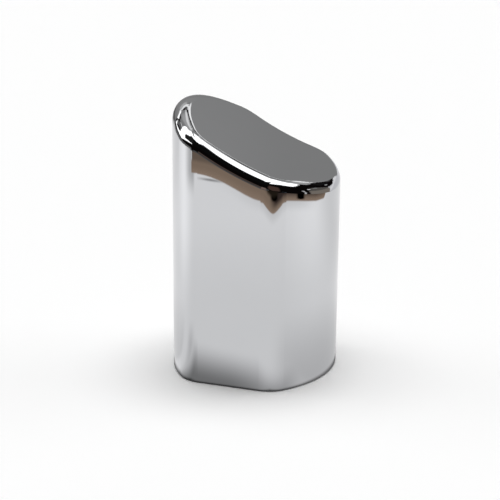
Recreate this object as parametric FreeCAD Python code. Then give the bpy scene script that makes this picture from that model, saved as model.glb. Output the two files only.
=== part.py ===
import FreeCAD, Part
import math
import os

# Perfume cap: a hollow cast outer shell with a wave-shaped slanted top, and the moulded
# sleeve inside it that grips the spray pump's collar.
# Frame: millimetres, +Z up, the cap stands on its rim at z = 0, the outline is centred on
# the origin, the flat front face looks towards -Y and the high side of the top is at -X.

# Outline of the outer shell, seen from above: flat front and back, bulging sides
width = 30.0
depth = 30.3
corner_radius = 5.5
side_radius = 19.9

# Wave of the top, seen from the front: a hollow that turns into a swell
wave_turn_x = 8.75
wave_turn_height = 38.3
wave_turn_angle = math.radians(15.9)
hollow_radius = 56.7
swell_radius = 34.7

# Walls and edges of the outer shell
wall = 1.8
top_edge_radius = 2.1
cavity_edge_bevel = 0.5
rim_edge_bevel = 0.3

# Step inside the rim, where the flange of the sleeve sits
seat_width = 0.6
seat_clearance = 0.05
flange_recess = 0.6
flange_thickness = 1.4

# Tube of the sleeve: the collar bore, and the narrower pocket for the spray head above it
collar_bore_radius = 9.0
collar_grip_length = 9.5
lead_in = 0.5
pocket_radius = 8.1
pocket_length = 13.0
tube_wall = 1.2
end_wall = 1.2
tube_end_bevel = 0.6

# Grooves that let air out of the collar bore
flute_width = 1.0
flute_depth = 0.4

# Ribs that centre the sleeve in the shell
rib_count = 8
rib_thickness = 1.0
rib_straight_height = 12.0
rib_taper_height = 3.0
rib_taper = 0.6

# Reach of a cutting tool past what it cuts
overshoot = 1.0

# Length under which an edge counts as having no extent
tiny = 1e-6

Vector = FreeCAD.Vector
UP = Vector(0, 0, 1)
ORIGIN = Vector(0, 0, 0)


def direction(angle):
    """Unit vector in plan, where angle 0 looks to the front and a quarter turn to the right."""
    return Vector(math.sin(angle), -math.cos(angle), 0)


def corner_geometry():
    """Centre of the front right corner arc, and the angle at which it passes into the side.

    The corner arc is tangent to the flat front and, from inside, to the side arc, so its
    centre lies at a known distance from the middle and from the side arc's centre.
    """
    to_side_centre = side_radius - corner_radius
    to_middle = depth / 2 - corner_radius
    across = math.sqrt(to_side_centre**2 - to_middle**2)
    centre = Vector(width / 2 - side_radius + across, -to_middle, 0)
    return centre, math.atan2(across, to_middle)


def arc_edges(arcs, inset):
    """Edges of arcs given as centre, radius and first and last angle, moved inwards."""
    edges = []
    for centre, radius, first, last in arcs:
        angles = (first, (first + last) / 2, last)
        points = [centre + direction(angle) * (radius - inset) for angle in angles]
        edges.append(Part.Arc(*points).toShape())
    return edges


def outline(inset):
    """Closed outline of the shell in plan, moved inwards by inset, counterclockwise."""
    corner, turn = corner_geometry()
    side = Vector(width / 2 - side_radius, 0, 0)
    back_corner = Vector(corner.x, -corner.y, 0)
    half = math.pi
    right_arcs = [
        (corner, corner_radius, 0, turn),
        (side, side_radius, turn, half - turn),
        (back_corner, corner_radius, half - turn, half),
    ]
    left_arcs = [
        (-corner, corner_radius, half, half + turn),
        (-side, side_radius, half + turn, 2 * half - turn),
        (-back_corner, corner_radius, 2 * half - turn, 2 * half),
    ]
    back_right = Vector(corner.x, depth / 2 - inset, 0)
    back_left = Vector(-corner.x, depth / 2 - inset, 0)
    back = Part.LineSegment(back_right, back_left).toShape()
    front = Part.LineSegment(-back_right, -back_left).toShape()
    edges = arc_edges(right_arcs, inset) + [back] + arc_edges(left_arcs, inset) + [front]
    return Part.Wire(edges)


def prism(inset, bottom, top):
    """Upright solid between two heights, with the outline moved inwards by inset."""
    face = Part.Face(outline(inset))
    face.translate(UP * bottom)
    return face.extrude(UP * (top - bottom))


def above_wave(inset):
    """Everything above the top surface, where that surface is moved inwards by inset.

    Seen from the front, the hollow's centre lies above the wave and the swell's below it,
    and both arcs share their tangent at the turn.
    """
    normal = Vector(math.sin(wave_turn_angle), 0, math.cos(wave_turn_angle))
    outer_turn = Vector(wave_turn_x, 0, wave_turn_height)
    hollow_centre = outer_turn + normal * hollow_radius
    swell_centre = outer_turn - normal * swell_radius
    hollow = hollow_radius + inset
    swell = swell_radius - inset
    turn = outer_turn - normal * inset
    reach = width / 2 + overshoot

    def on_hollow(x):
        return Vector(x, 0, hollow_centre.z - math.sqrt(hollow**2 - (x - hollow_centre.x)**2))

    def on_swell(x):
        return Vector(x, 0, swell_centre.z + math.sqrt(swell**2 - (x - swell_centre.x)**2))

    left = on_hollow(-reach)
    right = on_swell(reach)
    left_top = left + UP * overshoot
    right_top = Vector(right.x, 0, left_top.z)
    edges = [
        Part.Arc(left, on_hollow((turn.x - reach) / 2), turn).toShape(),
        Part.Arc(turn, on_swell((turn.x + reach) / 2), right).toShape(),
        Part.LineSegment(right, right_top).toShape(),
        Part.LineSegment(right_top, left_top).toShape(),
        Part.LineSegment(left_top, left).toShape(),
    ]
    half_depth = depth / 2 + overshoot
    face = Part.Face(Part.Wire(edges))
    face.translate(Vector(0, -half_depth, 0))
    return face.extrude(Vector(0, 2 * half_depth, 0))


def below_wave(inset, bottom):
    """Upright solid from a flat bottom to the top surface, moved inwards by inset."""
    above = above_wave(inset)
    ceiling = above.BoundBox.ZMax - overshoot / 2
    return prism(inset, bottom, ceiling).cut(above)


def top_edges(shape):
    """The closed loop of edges where the walls meet the top surface."""
    level = shape.BoundBox.ZMin + overshoot
    found = []
    for edge in shape.Edges:
        box = edge.BoundBox
        if box.ZMin > level and box.XLength > tiny:
            found.append(edge)
    return found


def bottom_edges(shape):
    """The closed loop of edges round a flat bottom."""
    level = shape.BoundBox.ZMin + tiny
    return [edge for edge in shape.Edges if edge.BoundBox.ZMax < level]


def make_outer_shell():
    """Cast shell: one large rounding round the wave, an even wall and a step in the rim."""
    body = below_wave(0, 0)
    body = body.makeFillet(top_edge_radius, top_edges(body))
    body = body.makeChamfer(rim_edge_bevel, bottom_edges(body))
    cavity = below_wave(wall, -overshoot)
    cavity = cavity.makeChamfer(cavity_edge_bevel, top_edges(cavity))
    seat = prism(wall - seat_width, -overshoot, flange_recess + flange_thickness)
    return body.cut(cavity).cut(seat)


def make_tube():
    """Round tube of the sleeve with a bevelled closed end, before it is bored."""
    radius = collar_bore_radius + tube_wall
    height = lead_in + collar_grip_length + pocket_length + end_wall
    tube = Part.makeCylinder(radius, height, UP * flange_recess)
    level = flange_recess + height - tiny
    end_edges = [edge for edge in tube.Edges if edge.BoundBox.ZMin > level]
    return tube.makeChamfer(tube_end_bevel, end_edges)


def make_flutes():
    """Shallow upright grooves in the collar bore, midway between the ribs."""
    length = lead_in + collar_grip_length
    corner = Vector(collar_bore_radius - flute_depth, -flute_width / 2, flange_recess)
    flutes = []
    for index in range(rib_count):
        flute = Part.makeBox(2 * flute_depth, flute_width, length, corner)
        flute.rotate(ORIGIN, UP, (index + 0.5) * 360 / rib_count)
        flutes.append(flute)
    return flutes


def make_bore():
    """Space inside the sleeve: flared mouth, collar bore with its flutes, and pocket."""
    mouth_radius = collar_bore_radius + lead_in
    mouth = Part.makeCone(mouth_radius, collar_bore_radius, lead_in, UP * flange_recess)
    grip_start = flange_recess + lead_in
    grip = Part.makeCylinder(collar_bore_radius, collar_grip_length, UP * grip_start)
    pocket_start = grip_start + collar_grip_length
    pocket = Part.makeCylinder(pocket_radius, pocket_length, UP * pocket_start)
    return mouth.fuse([grip, pocket] + make_flutes())


def make_rib_envelope(bottom, straight_top, taper_top):
    """Space that the ribs fill up to the shell's wall, drawn in towards their tops."""
    inset = wall + seat_clearance
    lower = outline(inset)
    lower.translate(UP * straight_top)
    upper = outline(inset + rib_taper)
    upper.translate(UP * taper_top)
    tapered = Part.makeLoft([lower, upper], True, True)
    return prism(inset, bottom, straight_top).fuse(tapered)


def make_ribs():
    """Upright ribs from the tube to the shell's wall."""
    bottom = flange_recess + flange_thickness / 2
    straight_top = flange_recess + flange_thickness + rib_straight_height
    taper_top = straight_top + rib_taper_height
    envelope = make_rib_envelope(bottom, straight_top, taper_top)
    root = collar_bore_radius + tube_wall / 2
    reach = math.hypot(width, depth) / 2
    corner = Vector(root, -rib_thickness / 2, bottom)
    ribs = []
    for index in range(rib_count):
        rib = Part.makeBox(reach - root, rib_thickness, taper_top - bottom, corner)
        rib.rotate(ORIGIN, UP, index * 360 / rib_count)
        ribs.append(rib.common(envelope))
    return ribs


def make_inner_sleeve():
    """Moulded sleeve: flange, tube and ribs in one piece, bored for the pump."""
    flange_inset = wall - seat_width + seat_clearance
    flange = prism(flange_inset, flange_recess, flange_recess + flange_thickness)
    body = flange.fuse([make_tube()] + make_ribs())
    return body.cut(make_bore()).removeSplitter()


os.makedirs("parts", exist_ok=True)
make_outer_shell().exportStep("parts/outer_shell.step")
make_inner_sleeve().exportStep("parts/inner_sleeve.step")
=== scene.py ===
import bpy
import math
from mathutils import Matrix, Vector

# Perfume cap: a mirror-bright chromed shell and the plain moulded sleeve inside it.
# Places are in metres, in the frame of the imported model: +Z up, rim at z = 0, the flat front
# looks towards -Y and the high side of the wavy top is at -X.

# Camera, turned round the cap from the front and looking slightly down
CAMERA_AZIMUTH = math.radians(19.0)
CAMERA_ELEVATION = math.radians(16.2)
CAMERA_ROLL = math.radians(0.5)
CAMERA_DISTANCE = 0.2528
CAMERA_TARGET = Vector((-0.0021, 0.0025, 0.0206))
CAMERA_LENS = 97.1
CAMERA_NEAREST = 0.01

# Light on the floor: a weak dome all round, two soft lamps overhead, and two low ones at the
# sides. Each lamp has its azimuth, tilt from overhead and spread in degrees, and its share.
DOME_LEVEL = 0.16
LAMPS = (
    ("lamp_behind", 155, 10, 34, 0.34),
    ("lamp_on_the_left", 255, 10, 50, 0.36),
    ("low_lamp_left", 270, 50, 40, 0.065),
    ("low_lamp_right", 125, 50, 40, 0.065),
)


# Camera
def make_camera():
    """Camera at the photograph's viewing angle, with a slight roll."""
    forward = Vector((
        -math.sin(CAMERA_AZIMUTH) * math.cos(CAMERA_ELEVATION),
        math.cos(CAMERA_AZIMUTH) * math.cos(CAMERA_ELEVATION),
        -math.sin(CAMERA_ELEVATION),
    ))
    level_right = Vector((math.cos(CAMERA_AZIMUTH), math.sin(CAMERA_AZIMUTH), 0))
    level_up = level_right.cross(forward)
    right = level_right * math.cos(CAMERA_ROLL) + level_up * math.sin(CAMERA_ROLL)
    up = right.cross(forward)
    data = bpy.data.cameras.new("camera")
    data.lens = CAMERA_LENS
    data.clip_start = CAMERA_NEAREST
    camera = bpy.data.objects.new("camera", data)
    bpy.context.scene.collection.objects.link(camera)
    turn = Matrix((right, up, -forward)).transposed().to_4x4()
    camera.matrix_world = Matrix.Translation(CAMERA_TARGET - forward * CAMERA_DISTANCE) @ turn
    bpy.context.scene.camera = camera


def plan_direction(angle):
    """Unit vector in plan, where angle 0 looks to the front and a quarter turn to the right."""
    return Vector((math.sin(angle), -math.cos(angle), 0))


# Shader nodes. A node that mixes colours has its two colours and its result in these sockets.
FIRST_COLOUR = 6
SECOND_COLOUR = 7
MIXED_COLOUR = 2


def add_node(tree, kind, *values, **settings):
    """New node with its settings, whose sockets take the values or links in order."""
    node = tree.nodes.new("ShaderNode" + kind)
    for name, setting in settings.items():
        setattr(node, name, setting)
    for socket, value in zip(node.inputs, values):
        connect(tree, value, socket)
    return node


def connect(tree, value, socket):
    """Link from a calculated value or a node's first output, or a plain value."""
    if isinstance(value, Value):
        value = value.socket
    if isinstance(value, bpy.types.Node):
        value = value.outputs[0]
    if isinstance(value, bpy.types.NodeSocket):
        tree.links.new(value, socket)
    elif value is not None:
        socket.default_value = value


class Value:
    """A number in a node tree, with which sums are written in the usual way."""

    def __init__(self, tree, socket):
        self.tree = tree
        self.socket = socket

    def calculate(self, operation, *others):
        """Result of an operation of Blender's math node on this number and the others."""
        node = add_node(self.tree, "Math", self, *others, operation=operation)
        return Value(self.tree, node.outputs[0])

    def __add__(self, other):
        return self.calculate("ADD", other)

    def __sub__(self, other):
        return self.calculate("SUBTRACT", other)

    def __mul__(self, other):
        return self.calculate("MULTIPLY", other)

    def over(self, start, end):
        """0 below start and 1 above end, with a soft passage between them."""
        node = add_node(self.tree, "MapRange", self, start, end, 0, 1,
                        interpolation_type="SMOOTHSTEP")
        return Value(self.tree, node.outputs[0])

    def under(self, start, end):
        """1 below start and 0 above end, with a soft passage between them."""
        return self.over(start, end) * -1 + 1

    def near(self, middle, reach):
        """1 at the middle value, falling softly to 0 at the reach on either side."""
        return (self - middle).calculate("ABSOLUTE").under(0, reach)


def dot_product(tree, vector, fixed):
    node = add_node(tree, "VectorMath", vector, fixed, operation="DOT_PRODUCT")
    return Value(tree, node.outputs["Value"])


def mix_colours(tree, share, first, second):
    node = add_node(tree, "Mix", share, data_type="RGBA")
    connect(tree, first, node.inputs[FIRST_COLOUR])
    connect(tree, second, node.inputs[SECOND_COLOUR])
    return node.outputs[MIXED_COLOUR]


def new_material(name):
    """Empty node material and its output node."""
    material = bpy.data.materials.new(name)
    material.use_nodes = True
    material.node_tree.nodes.clear()
    output = material.node_tree.nodes.new("ShaderNodeOutputMaterial")
    return material, material.node_tree, output


def noise(tree, scale, detail):
    """Even noise through the piece, in cells per metre."""
    place = tree.nodes.new("ShaderNodeTexCoord").outputs["Object"]
    node = add_node(tree, "TexNoise", place)
    node.inputs["Scale"].default_value = scale
    node.inputs["Detail"].default_value = detail
    return node.outputs[0]


# Materials. Tints and roughness vary between two values, in patches of the first scale, and
# the relief has the second scale.
CHROME_TINTS = ((0.600, 0.605, 0.615, 1), (0.585, 0.591, 0.602, 1))
CHROME_ROUGHNESS = (0.008, 0.020)
CHROME_SCALES = (160, 220)
CHROME_WAVINESS = 0.9e-6
PATCH_DETAIL = 3
RELIEF_DETAIL = 2
PLASTIC_TINTS = ((0.78, 0.78, 0.76, 1), (0.70, 0.70, 0.67, 1))
PLASTIC_ROUGHNESS = (0.38, 0.50)
PLASTIC_SCALES = (250, 4000)
PLASTIC_GRAIN = 8e-6


def surface_detail(tree, shader, tints, roughness, scales, depth):
    """Colour, roughness and bump that vary softly over the piece."""
    patches = noise(tree, scales[0], PATCH_DETAIL)
    tint = mix_colours(tree, patches, tints[0], tints[1])
    tree.links.new(tint, shader.inputs["Base Color"])
    polish = add_node(tree, "MapRange", patches, 0, 1, roughness[0], roughness[1])
    tree.links.new(polish.outputs[0], shader.inputs["Roughness"])
    bump = tree.nodes.new("ShaderNodeBump")
    bump.inputs["Distance"].default_value = depth
    tree.links.new(noise(tree, scales[1], RELIEF_DETAIL), bump.inputs["Height"])
    tree.links.new(bump.outputs[0], shader.inputs["Normal"])


def make_chrome():
    """Polished chrome: nearly a mirror, with a trace of waviness and of uneven polish."""
    material, tree, output = new_material("chrome")
    shader = tree.nodes.new("ShaderNodeBsdfPrincipled")
    shader.inputs["Metallic"].default_value = 1
    surface_detail(tree, shader, CHROME_TINTS, CHROME_ROUGHNESS, CHROME_SCALES,
                   CHROME_WAVINESS)
    tree.links.new(shader.outputs[0], output.inputs[0])
    return material


def make_plastic():
    """Natural white moulded plastic, satin and finely grained."""
    material, tree, output = new_material("plastic")
    shader = tree.nodes.new("ShaderNodeBsdfPrincipled")
    surface_detail(tree, shader, PLASTIC_TINTS, PLASTIC_ROUGHNESS, PLASTIC_SCALES,
                   PLASTIC_GRAIN)
    tree.links.new(shader.outputs[0], output.inputs[0])
    return material


# Surroundings that the chrome reflects. A direction is an azimuth, from the front round to
# the right, and an elevation, in degrees. A brightness of 1 is a white sheet. Each thing
# has its brightness and the softness of its edge in degrees, and lies over the ones before.
# A band has its left and right azimuth and its bottom and top elevation, a panel its
# corners, and a bar its two ends and its width.
ROOM = (0.004, 0.003, 0.003)
WINDOW = (2.2, 2.2, 2.2)
SURROUNDINGS = [
    ("band", "wall on the left", (0.17, 0.17, 0.17), 4, (-160, -38, -10.5, 9)),
    ("band", "white cloth on the left", (0.90, 0.90, 0.91), 1.5, (-175, -43, -17, -9.5)),
    ("band", "shaded end of the cloth", (0.70, 0.70, 0.70), 8, (-68, -40, -17, -9.5)),
    ("band", "seam of the cloth", (0.75, 0.74, 0.72), 4, (-110, -97, -17, -9.5)),
    ("band", "lit fold of the cloth", (1.40, 1.40, 1.40), 12, (-94, -62, -17, -9.5)),
    ("band", "corner of the cloth", (0.75, 0.75, 0.75), 5, (-133, -117, -17, 6)),
    ("band", "wall at the back", (0.72, 0.72, 0.75), 3, (137, 190, -17, 11)),
    ("panel", "lit edge of that wall", (0.95, 0.95, 0.97), 2,
     [(180, 18), (169, 18), (146, 4), (137, -12), (140, -24), (180, -10)]),
    ("panel", "inner part of that wall", (0.72, 0.72, 0.75), 6,
     [(180, 16), (155, 9), (140, -13), (142, -27), (180, -10)]),
    ("panel", "window on the left", WINDOW, 4,
     [(-127, -11), (-90, 10), (-57, 3), (-35, 20), (-27, 31), (0, 90), (-170, 56),
      (-135, 17)]),
    ("panel", "window on the right", WINDOW, 4,
     [(-176, 48), (175, 31), (154, 35), (130, 35), (109, 27), (88, 47), (55, 56), (37, 62),
      (-26, 86)]),
    ("panel", "front end of that window", WINDOW, 3, [(79, 77), (83, 49), (33, 52), (30, 57)]),
    ("panel", "blind in that window", (0.50, 0.50, 0.50), 2,
     [(173, 30), (164, 29), (145, 33), (142, 40), (155, 56), (165, 61)]),
    ("panel", "ceiling", (0.005, 0.005, 0.005), 5,
     [(-88, 81), (-67, 63), (-38, 38), (-25, 26), (18, 29), (68, 66), (92, 71)]),
    ("panel", "light past the ceiling", WINDOW, 3,
     [(-99, 78), (95, 68), (66, 68), (44, 65), (31, 64), (20, 63.5), (10, 66), (-9, 71),
      (-40, 74.5)]),
    ("panel", "dark shade", (0.02, 0.02, 0.02), 4,
     [(-36, 75), (-88, 52), (-86, 44), (-71, 29), (-64, 31), (-31, 34), (-16, 52)]),
    ("panel", "grey screen at the back", (0.28, 0.28, 0.28), 1.5,
     [(171, 7), (-146, -4), (-124, 2), (-119, 7), (-115, 15), (-114, 27), (-128, 36),
      (-150, 38), (-172, 33), (172, 26)]),
    ("panel", "lit part of the screen", (0.33, 0.33, 0.33), 6,
     [(160, 17), (-140, 17), (-114, 27), (-128, 39), (-150, 42), (-172, 36), (169, 29)]),
    ("panel", "glow on the screen", (0.60, 0.60, 0.60), 6,
     [(-136, 28), (-133, 40), (-150, 43), (-176, 36), (-173, 31), (-160, 27)]),
    ("panel", "dark side of the screen", (0.12, 0.12, 0.12), 4,
     [(-146, -4), (-124, 2), (-119, 7), (-115, 16), (-144, 9)]),
    ("panel", "grey curtain, right part", (0.30, 0.30, 0.30), 2,
     [(-121, 41), (180, 37), (169, 40), (162, 59), (178, 66), (-102, 44)]),
    ("panel", "grey curtain, left part", (0.16, 0.16, 0.16), 1.5,
     [(-113, 17), (-121, 43), (-103, 44), (-96, 29), (-98, 23)]),
    ("panel", "dark end of the curtain", (0.02, 0.02, 0.02), 4,
     [(-113, 16), (-112, 26), (-107, 34), (-94, 29), (-98, 21)]),
    ("panel", "lit fold of the curtain", (0.50, 0.50, 0.50), 10,
     [(-126, 43), (-120, 58), (-170, 75), (180, 60), (-176, 42), (-150, 42)]),
    ("bar", "shade over the lamp tube", (0.33, 0.33, 0.33), 1.5, (-152, 43.5), (-124, 41.5), 5),
    ("bar", "edge of the curtain", (1.05, 1.05, 1.05), 6, (-174, 38), (-161, 62), 13),
    ("bar", "dark rail, right end", (0.09, 0.09, 0.09), 3, (168, 41), (-179, 38), 11),
    ("bar", "dark rail, middle", (0.30, 0.30, 0.30), 1.5, (-158, 45.5), (-130, 44), 4),
    ("bar", "dark rail, left part", (0.04, 0.04, 0.04), 2, (-132, 46), (-114, 36), 6),
    ("bar", "dark rail, left end", (0.03, 0.03, 0.03), 1.5, (-117, 44), (-117, 14), 4),
    ("bar", "lamp tube, right end", (1.30, 1.30, 1.30), 1.5, (168, 29.5), (180, 30), 8),
    ("bar", "lamp tube, middle", (1.20, 1.20, 1.20), 2, (178, 31), (-145, 40.5), 5.5),
    ("bar", "lamp tube, left end", (1.20, 1.20, 1.20), 2, (-152, 40.5), (-121, 33), 5),
    ("panel", "dark gap beside the wall", (0.01, 0.01, 0.01), 1.5,
     [(173, 22), (174, 26.5), (160, 30), (146, 32), (145, 22), (158, 18.5)]),
    ("band", "front of the desk", (0.18, 0.135, 0.105), 0.8, (-43, 16, -30, -10.4)),
    ("band", "right part of the desk", (0.03, 0.02, 0.02), 0.8, (14, 112, -30, -10.4)),
    ("band", "far edge of the desk", (0.10, 0.10, 0.10), 2, (-36, 15, -10.5, -0.5)),
    ("panel", "warm patch in front", (0.25, 0.18, 0.155), 5,
     [(-16, -8), (-14, 7), (0, 11), (7, 8), (4, -10)]),
    ("band", "dark thing in front", (0.020, 0.015, 0.010), 8, (0, 50, -30, -3)),
    ("panel", "brown cloth", (0.085, 0.050, 0.040), 9,
     [(18, 38), (62, 34), (58, -6), (20, -7), (8, 12)]),
    ("band", "bluish glimmer", (0.10, 0.12, 0.14), 2, (60, 80, -6, -3)),
    ("panel", "upper shelf on the right", (0.13, 0.12, 0.11), 3,
     [(148, 8), (137, -12), (113, -12), (108, -1), (121, 24), (138, 20)]),
    ("band", "shelf on the right", (0.25, 0.22, 0.19), 2, (110, 146, -30, 6)),
    ("band", "small lamp", (0.6, 0.6, 0.6), 1.5, (101, 106, -13, 9)),
    ("band", "second small lamp", (1.0, 1.0, 1.0), 1.2, (113, 118, 12, 17)),
    ("band", "third small lamp", (0.5, 0.5, 0.5), 1.2, (149, 154, 16, 20)),
    ("band", "row of lit things", (0.3, 0.3, 0.3), 1.2, (124, 134, 17, 21)),
]


def sky_direction(azimuth, elevation):
    """Unit vector towards an azimuth and an elevation in degrees."""
    level = plan_direction(math.radians(azimuth)) * math.cos(math.radians(elevation))
    return level + Vector((0, 0, math.sin(math.radians(elevation))))


def panel_share(tree, view, softness, corners):
    """1 inside the panel with these corners and 0 outside it."""
    towards = [sky_direction(*corner) for corner in corners]
    middle = sum(towards, Vector())
    share = None
    for first, second in zip(towards, towards[1:] + towards[:1]):
        inwards = first.cross(second).normalized()
        if inwards.dot(middle) < 0:
            inwards.negate()
        side = dot_product(tree, view, inwards).over(0, math.radians(softness))
        share = side * share if share else side
    return share


def bar_share(tree, view, softness, first, second, width):
    """1 on a straight bar from one direction to another and 0 beside it."""
    start = sky_direction(*first)
    end = sky_direction(*second)
    across = start.cross(end).normalized()
    soft = math.radians(softness)
    half = math.radians(width / 2)
    offset = dot_product(tree, view, across).calculate("ABSOLUTE")
    share = offset.under(half - soft, half)
    share = share * dot_product(tree, view, across.cross(start)).over(0, soft)
    return share * dot_product(tree, view, end.cross(across)).over(0, soft)


def band_share(tree, level_view, height, softness, limits):
    """1 inside a band between two azimuths and two elevations, and 0 outside it."""
    left, right, bottom, top = (math.radians(limit) for limit in limits)
    soft = math.radians(softness)
    after_left = Vector((math.cos(left), math.sin(left), 0))
    before_right = -Vector((math.cos(right), math.sin(right), 0))
    share = dot_product(tree, level_view, after_left).over(0, soft)
    share = share * dot_product(tree, level_view, before_right).over(0, soft)
    return share * height.over(bottom, bottom + soft) * height.under(top - soft, top)


def surroundings_colour(tree):
    """Colour of the surroundings in the direction that the shader looks."""
    place = tree.nodes.new("ShaderNodeTexCoord").outputs["Generated"]
    view = add_node(tree, "VectorMath", place, operation="NORMALIZE")
    flat = add_node(tree, "VectorMath", view, (1, 1, 0), operation="MULTIPLY")
    level_view = add_node(tree, "VectorMath", flat, operation="NORMALIZE")
    rise = Value(tree, add_node(tree, "SeparateXYZ", view).outputs[2])
    height = rise.calculate("ARCSINE")
    colour = (*ROOM, 1)
    for kind, _, tint, softness, *shape in SURROUNDINGS:
        if kind == "panel":
            share = panel_share(tree, view, softness, *shape)
        elif kind == "bar":
            share = bar_share(tree, view, softness, *shape)
        else:
            share = band_share(tree, level_view, height, softness, *shape)
        colour = mix_colours(tree, share, colour, (*tint, 1))
    return colour


def make_world():
    """White for the camera, the surroundings for reflections, a weak dome for all else."""
    world = bpy.data.worlds.new("studio")
    world.use_nodes = True
    bpy.context.scene.world = world
    tree = world.node_tree
    tree.nodes.clear()
    output = tree.nodes.new("ShaderNodeOutputWorld")
    path = tree.nodes.new("ShaderNodeLightPath").outputs
    white = (1, 1, 1, 1)
    dome = (DOME_LEVEL, DOME_LEVEL, DOME_LEVEL, 1)
    mirrored = Value(tree, path["Is Glossy Ray"])
    mirrored = mirrored.calculate("MAXIMUM", path["Is Transmission Ray"])
    colour = mix_colours(tree, mirrored, dome, surroundings_colour(tree))
    colour = mix_colours(tree, path["Is Camera Ray"], colour, white)
    background = add_node(tree, "Background", colour, 1)
    tree.links.new(background.outputs[0], output.inputs[0])


def make_lamps():
    """Soft lamps that light the floor and cast the cap's shadow."""
    for name, azimuth, tilt, spread, level in LAMPS:
        data = bpy.data.lights.new(name, "SUN")
        data.energy = level * math.pi / math.cos(math.radians(tilt))
        data.angle = math.radians(spread)
        lamp = bpy.data.objects.new(name, data)
        towards = sky_direction(azimuth, 90 - tilt)
        lamp.rotation_euler = towards.to_track_quat("Z", "Y").to_euler()
        lamp.visible_glossy = False
        bpy.context.scene.collection.objects.link(lamp)


# Floor: a white sheet with the cap on it, on a brown desk. Reflections show the sheet's edge
# and the desk, with painted light and shade on the sheet, and the camera sees white all over.
# The desk has one colour next to the sheet and further off one in front and one on the right.
# From here on, distances on the floor are in millimetres and azimuths in degrees.
FLOOR_HALF_WIDTH = 3.0
PER_METRE = 1000
SHEET_WHITE = (1.00, 1.00, 1.01)
DESK_EDGE = (0.355, 0.260, 0.195, 1)
DESK_FRONT = (0.290, 0.212, 0.158, 1)
DESK_RIGHT = (0.050, 0.035, 0.030, 1)
BLACK = (0, 0, 0, 1)

# Edge of the sheet: how far it reaches in front and on the right, the rounded dent in front
# on the right, and how much further it reaches over some ranges of azimuth
SHEET_REACH = 151
DENT_AZIMUTH = 27
DENT_REACH = 139.3
DENT_SLOPE = 0.34
DENT_ROUNDING = 60
RIGHT_REACH = 166.6
RIGHT_SLOPE = -0.2
RIGHT_LEAST_REACH = 144
FURTHER = (
    (34, ("azimuth", "under", -22, -14)),
    (400, ("azimuth", "under", -48, -44)),
    (60, ("azimuth", "over", 126, 150)),
)
EDGE_SOFTNESS = 1.2

# Foot of the cap, as two side arcs between two flats, the plane of its front, and how far the
# shade before the front is skewed and slanted
FOOT_SIDE_RADIUS = 19.9
FOOT_SIDE_CENTRE = 4.9
FOOT_HALF_DEPTH = 15.15
FRONT_PLANE = 15
FRONT_SKEW = 0.384
FRONT_SLANT = 0.3

# Painted light and shade on the sheet, seen only in reflections. Each has its strength and the
# ranges that it lies in. A range has its measure, its kind and two values: it lies over them,
# under them, or near the first of them as far as the second.
SHEET_LEVEL = 0.92
LIGHT = (
    ("light away from the cap", 0.10, ("distance", "over", 60, 140)),
    ("shade at the back", -0.15, ("y", "over", 40, 110)),
    ("light from the left", 0.27, ("azimuth", "near", -77, 45),
     ("distance", "over", 10, 125)),
    ("light from the right", 0.13, ("azimuth", "near", 105, 45),
     ("distance", "over", 10, 125)),
    ("dim end on the left", -0.45, ("distance", "over", 150, 190),
     ("azimuth", "over", -78, -50), ("azimuth", "under", -40, -30)),
    ("shade before the left corner", -0.22, ("azimuth", "near", -40, 14),
     ("distance", "under", 34, 52)),
    ("shade beside the cap on the left", -0.16, ("azimuth", "under", -72, -60),
     ("distance", "under", 18, 60)),
)
SHADE = (
    ("shade before the front", -0.75, ("slanted ahead", "under", 0, 20),
     ("across", "over", -15, -8), ("across", "under", 0, 24), ("y", "under", -14, -9)),
    ("shade beside the cap on the right", -0.29, ("distance", "under", 12, 60),
     ("azimuth", "over", 20, 70)),
    # painted contact shade on the sheet where it meets the rim
    ("gap under the rim", -0.8, ("gap", "under", 0.1, 1.5)),
    # painted shadow of a crease in the sheet, a thin dark dash
    ("crease in the sheet", -0.65, ("along crease", "near", 136, 3),
     ("azimuth", "near", -20, 1.8)),
    ("shade at the sheet's edge", -0.18, ("to edge", "under", 0, 14),
     ("azimuth", "over", -22, -10), ("azimuth", "under", 90, 120)),
)
CREASE_SLANT = 2

# Desk: the ranges in which it is seen, next to the sheet and on the right, and the black
# things on it
DESK_PART = (("azimuth", "over", -47, -44), ("azimuth", "under", 138, 148))
DESK_DEPTH = ("beyond", "under", 14, 22)
DESK_EDGE_DEPTH = ("beyond", "over", 0, 12)
DESK_DARKENS = ("azimuth", "over", 12, 40)
BLACK_THINGS = (
    (("azimuth", "near", 31, 16), ("distance", "near", 160, 7)),
    (("azimuth", "near", 91.5, 7), ("beyond", "over", 1, 4)),
)


RANGE_KINDS = {"over": Value.over, "under": Value.under, "near": Value.near}


def within(measures, *ranges):
    """1 inside all these ranges of the measures and 0 outside them."""
    share = None
    for measure, kind, first, second in ranges:
        inside = RANGE_KINDS[kind](measures[measure], first, second)
        share = share * inside if share else inside
    return share


def length(x, y):
    """Length of a line in plan, from its two parts."""
    return (x * x + y * y).calculate("SQRT")


def sheet_radius(measures):
    """Distance from the cap's middle to the edge of the sheet."""
    azimuth = measures["azimuth"]
    from_dent = azimuth - DENT_AZIMUTH
    rounded = (from_dent * from_dent + DENT_ROUNDING).calculate("SQRT")
    dented = rounded * DENT_SLOPE + DENT_REACH
    on_right = azimuth * RIGHT_SLOPE + RIGHT_REACH
    on_right = on_right.calculate("MAXIMUM", RIGHT_LEAST_REACH)
    radius = dented.calculate("MINIMUM", SHEET_REACH).calculate("MINIMUM", on_right)
    for further, extent in FURTHER:
        radius = radius + within(measures, extent) * further
    return radius


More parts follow.
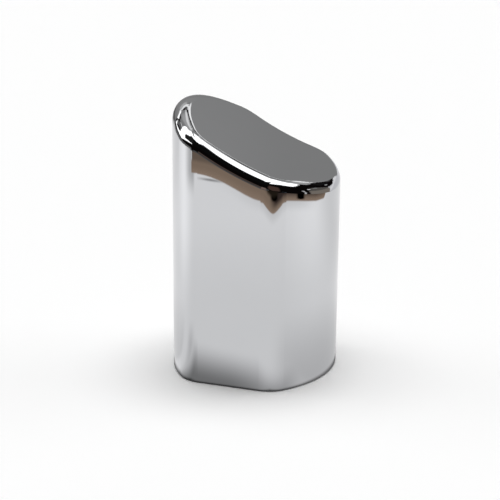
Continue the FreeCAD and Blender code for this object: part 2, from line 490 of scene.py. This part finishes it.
def floor_measures(x, y):
    """Measures of a place on the floor, by which its light and colour are set."""
    azimuth = x.calculate("ARCTAN2", y * -1).calculate("DEGREES")
    measures = {"y": y, "distance": length(x, y), "azimuth": azimuth}
    from_side = length(x.calculate("ABSOLUTE") + FOOT_SIDE_CENTRE, y) - FOOT_SIDE_RADIUS
    from_flat = y.calculate("ABSOLUTE") - FOOT_HALF_DEPTH
    measures["gap"] = from_side.calculate("MAXIMUM", from_flat)
    ahead = y * -1 - FRONT_PLANE
    measures["across"] = x + ahead * FRONT_SKEW
    measures["slanted ahead"] = ahead + measures["across"] * FRONT_SLANT
    measures["along crease"] = measures["distance"] + azimuth * CREASE_SLANT
    measures["to edge"] = sheet_radius(measures) - measures["distance"]
    measures["beyond"] = measures["to edge"] * -1
    return measures


def sheet_brightness(measures):
    """Painted brightness of the sheet: painted light from both sides, and painted shade from
    the cap close to it.
    """
    lights = [within(measures, *ranges) * strength for _, strength, *ranges in LIGHT]
    level = sum(lights[1:], lights[0] + SHEET_LEVEL)
    for _, strength, *ranges in SHADE:
        level = level * (within(measures, *ranges) * strength + 1)
    return level


def desk_colour(tree, measures):
    """Colour of the desk, with two black things on it: beyond the dent, and on the right."""
    far = mix_colours(tree, within(measures, DESK_DARKENS), DESK_FRONT, DESK_RIGHT)
    desk = mix_colours(tree, within(measures, DESK_EDGE_DEPTH), DESK_EDGE, far)
    first, second = (within(measures, *ranges) for ranges in BLACK_THINGS)
    black = (first.calculate("MAXIMUM", second) * 2).calculate("MINIMUM", 1)
    return mix_colours(tree, black, desk, BLACK)


def reflected_floor(tree, x, y):
    """Colour of the floor in reflections, with painted light and shade on the sheet, and the
    share in which there is any floor.
    """
    measures = floor_measures(x, y)
    sheet = add_node(tree, "VectorMath", SHEET_WHITE, operation="SCALE")
    connect(tree, sheet_brightness(measures), sheet.inputs["Scale"])
    on_sheet = measures["to edge"].over(-EDGE_SOFTNESS, EDGE_SOFTNESS)
    in_front = within(measures, *DESK_PART)
    white = on_sheet.calculate("MAXIMUM", in_front * -1 + 1)
    colour = mix_colours(tree, white, desk_colour(tree, measures), sheet.outputs[0])
    on_desk = in_front * within(measures, DESK_DEPTH)
    return colour, on_sheet.calculate("MAXIMUM", on_desk)


def make_floor_material():
    """White floor that keeps the cap's shadow, and shows sheet and desk in reflections as an
    emission with painted light and shade.
    """
    material, tree, output = new_material("floor")
    place = tree.nodes.new("ShaderNodeNewGeometry").outputs["Position"]
    in_millimetres = add_node(tree, "VectorMath", place, (PER_METRE, PER_METRE, PER_METRE),
                              operation="MULTIPLY")
    axes = add_node(tree, "SeparateXYZ", in_millimetres).outputs
    colour, share = reflected_floor(tree, Value(tree, axes[0]), Value(tree, axes[1]))
    # In reflections the floor is an emission: sheet and desk with painted light and shade, not
    # lit by the lamps.
    painted_floor_glow = add_node(tree, "Emission", colour, 1)
    clear = add_node(tree, "BsdfTransparent")
    mirrored = add_node(tree, "MixShader", share, clear, painted_floor_glow)
    matt = add_node(tree, "BsdfDiffuse", (1, 1, 1, 1))
    path = tree.nodes.new("ShaderNodeLightPath").outputs
    surface = add_node(tree, "MixShader", path["Is Glossy Ray"], matt, mirrored)
    tree.links.new(surface.outputs[0], output.inputs[0])
    return material


def make_floor():
    mesh = bpy.data.meshes.new("floor")
    w = FLOOR_HALF_WIDTH
    mesh.from_pydata([(-w, -w, 0), (w, -w, 0), (w, w, 0), (-w, w, 0)], [], [(0, 1, 2, 3)])
    mesh.materials.append(make_floor_material())
    floor = bpy.data.objects.new("floor", mesh)
    bpy.context.scene.collection.objects.link(floor)


# Scene
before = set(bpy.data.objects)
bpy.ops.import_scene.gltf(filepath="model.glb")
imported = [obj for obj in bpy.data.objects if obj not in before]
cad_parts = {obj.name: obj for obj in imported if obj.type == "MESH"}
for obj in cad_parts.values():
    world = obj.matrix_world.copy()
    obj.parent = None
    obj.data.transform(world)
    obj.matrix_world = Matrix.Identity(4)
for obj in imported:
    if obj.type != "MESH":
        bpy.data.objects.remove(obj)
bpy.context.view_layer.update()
make_camera()
make_floor()
make_world()
make_lamps()
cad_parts["outer_shell"].material_slots[0].material = make_chrome()
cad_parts["inner_sleeve"].material_slots[0].material = make_plastic()
bpy.context.scene.view_settings.view_transform = "Standard"
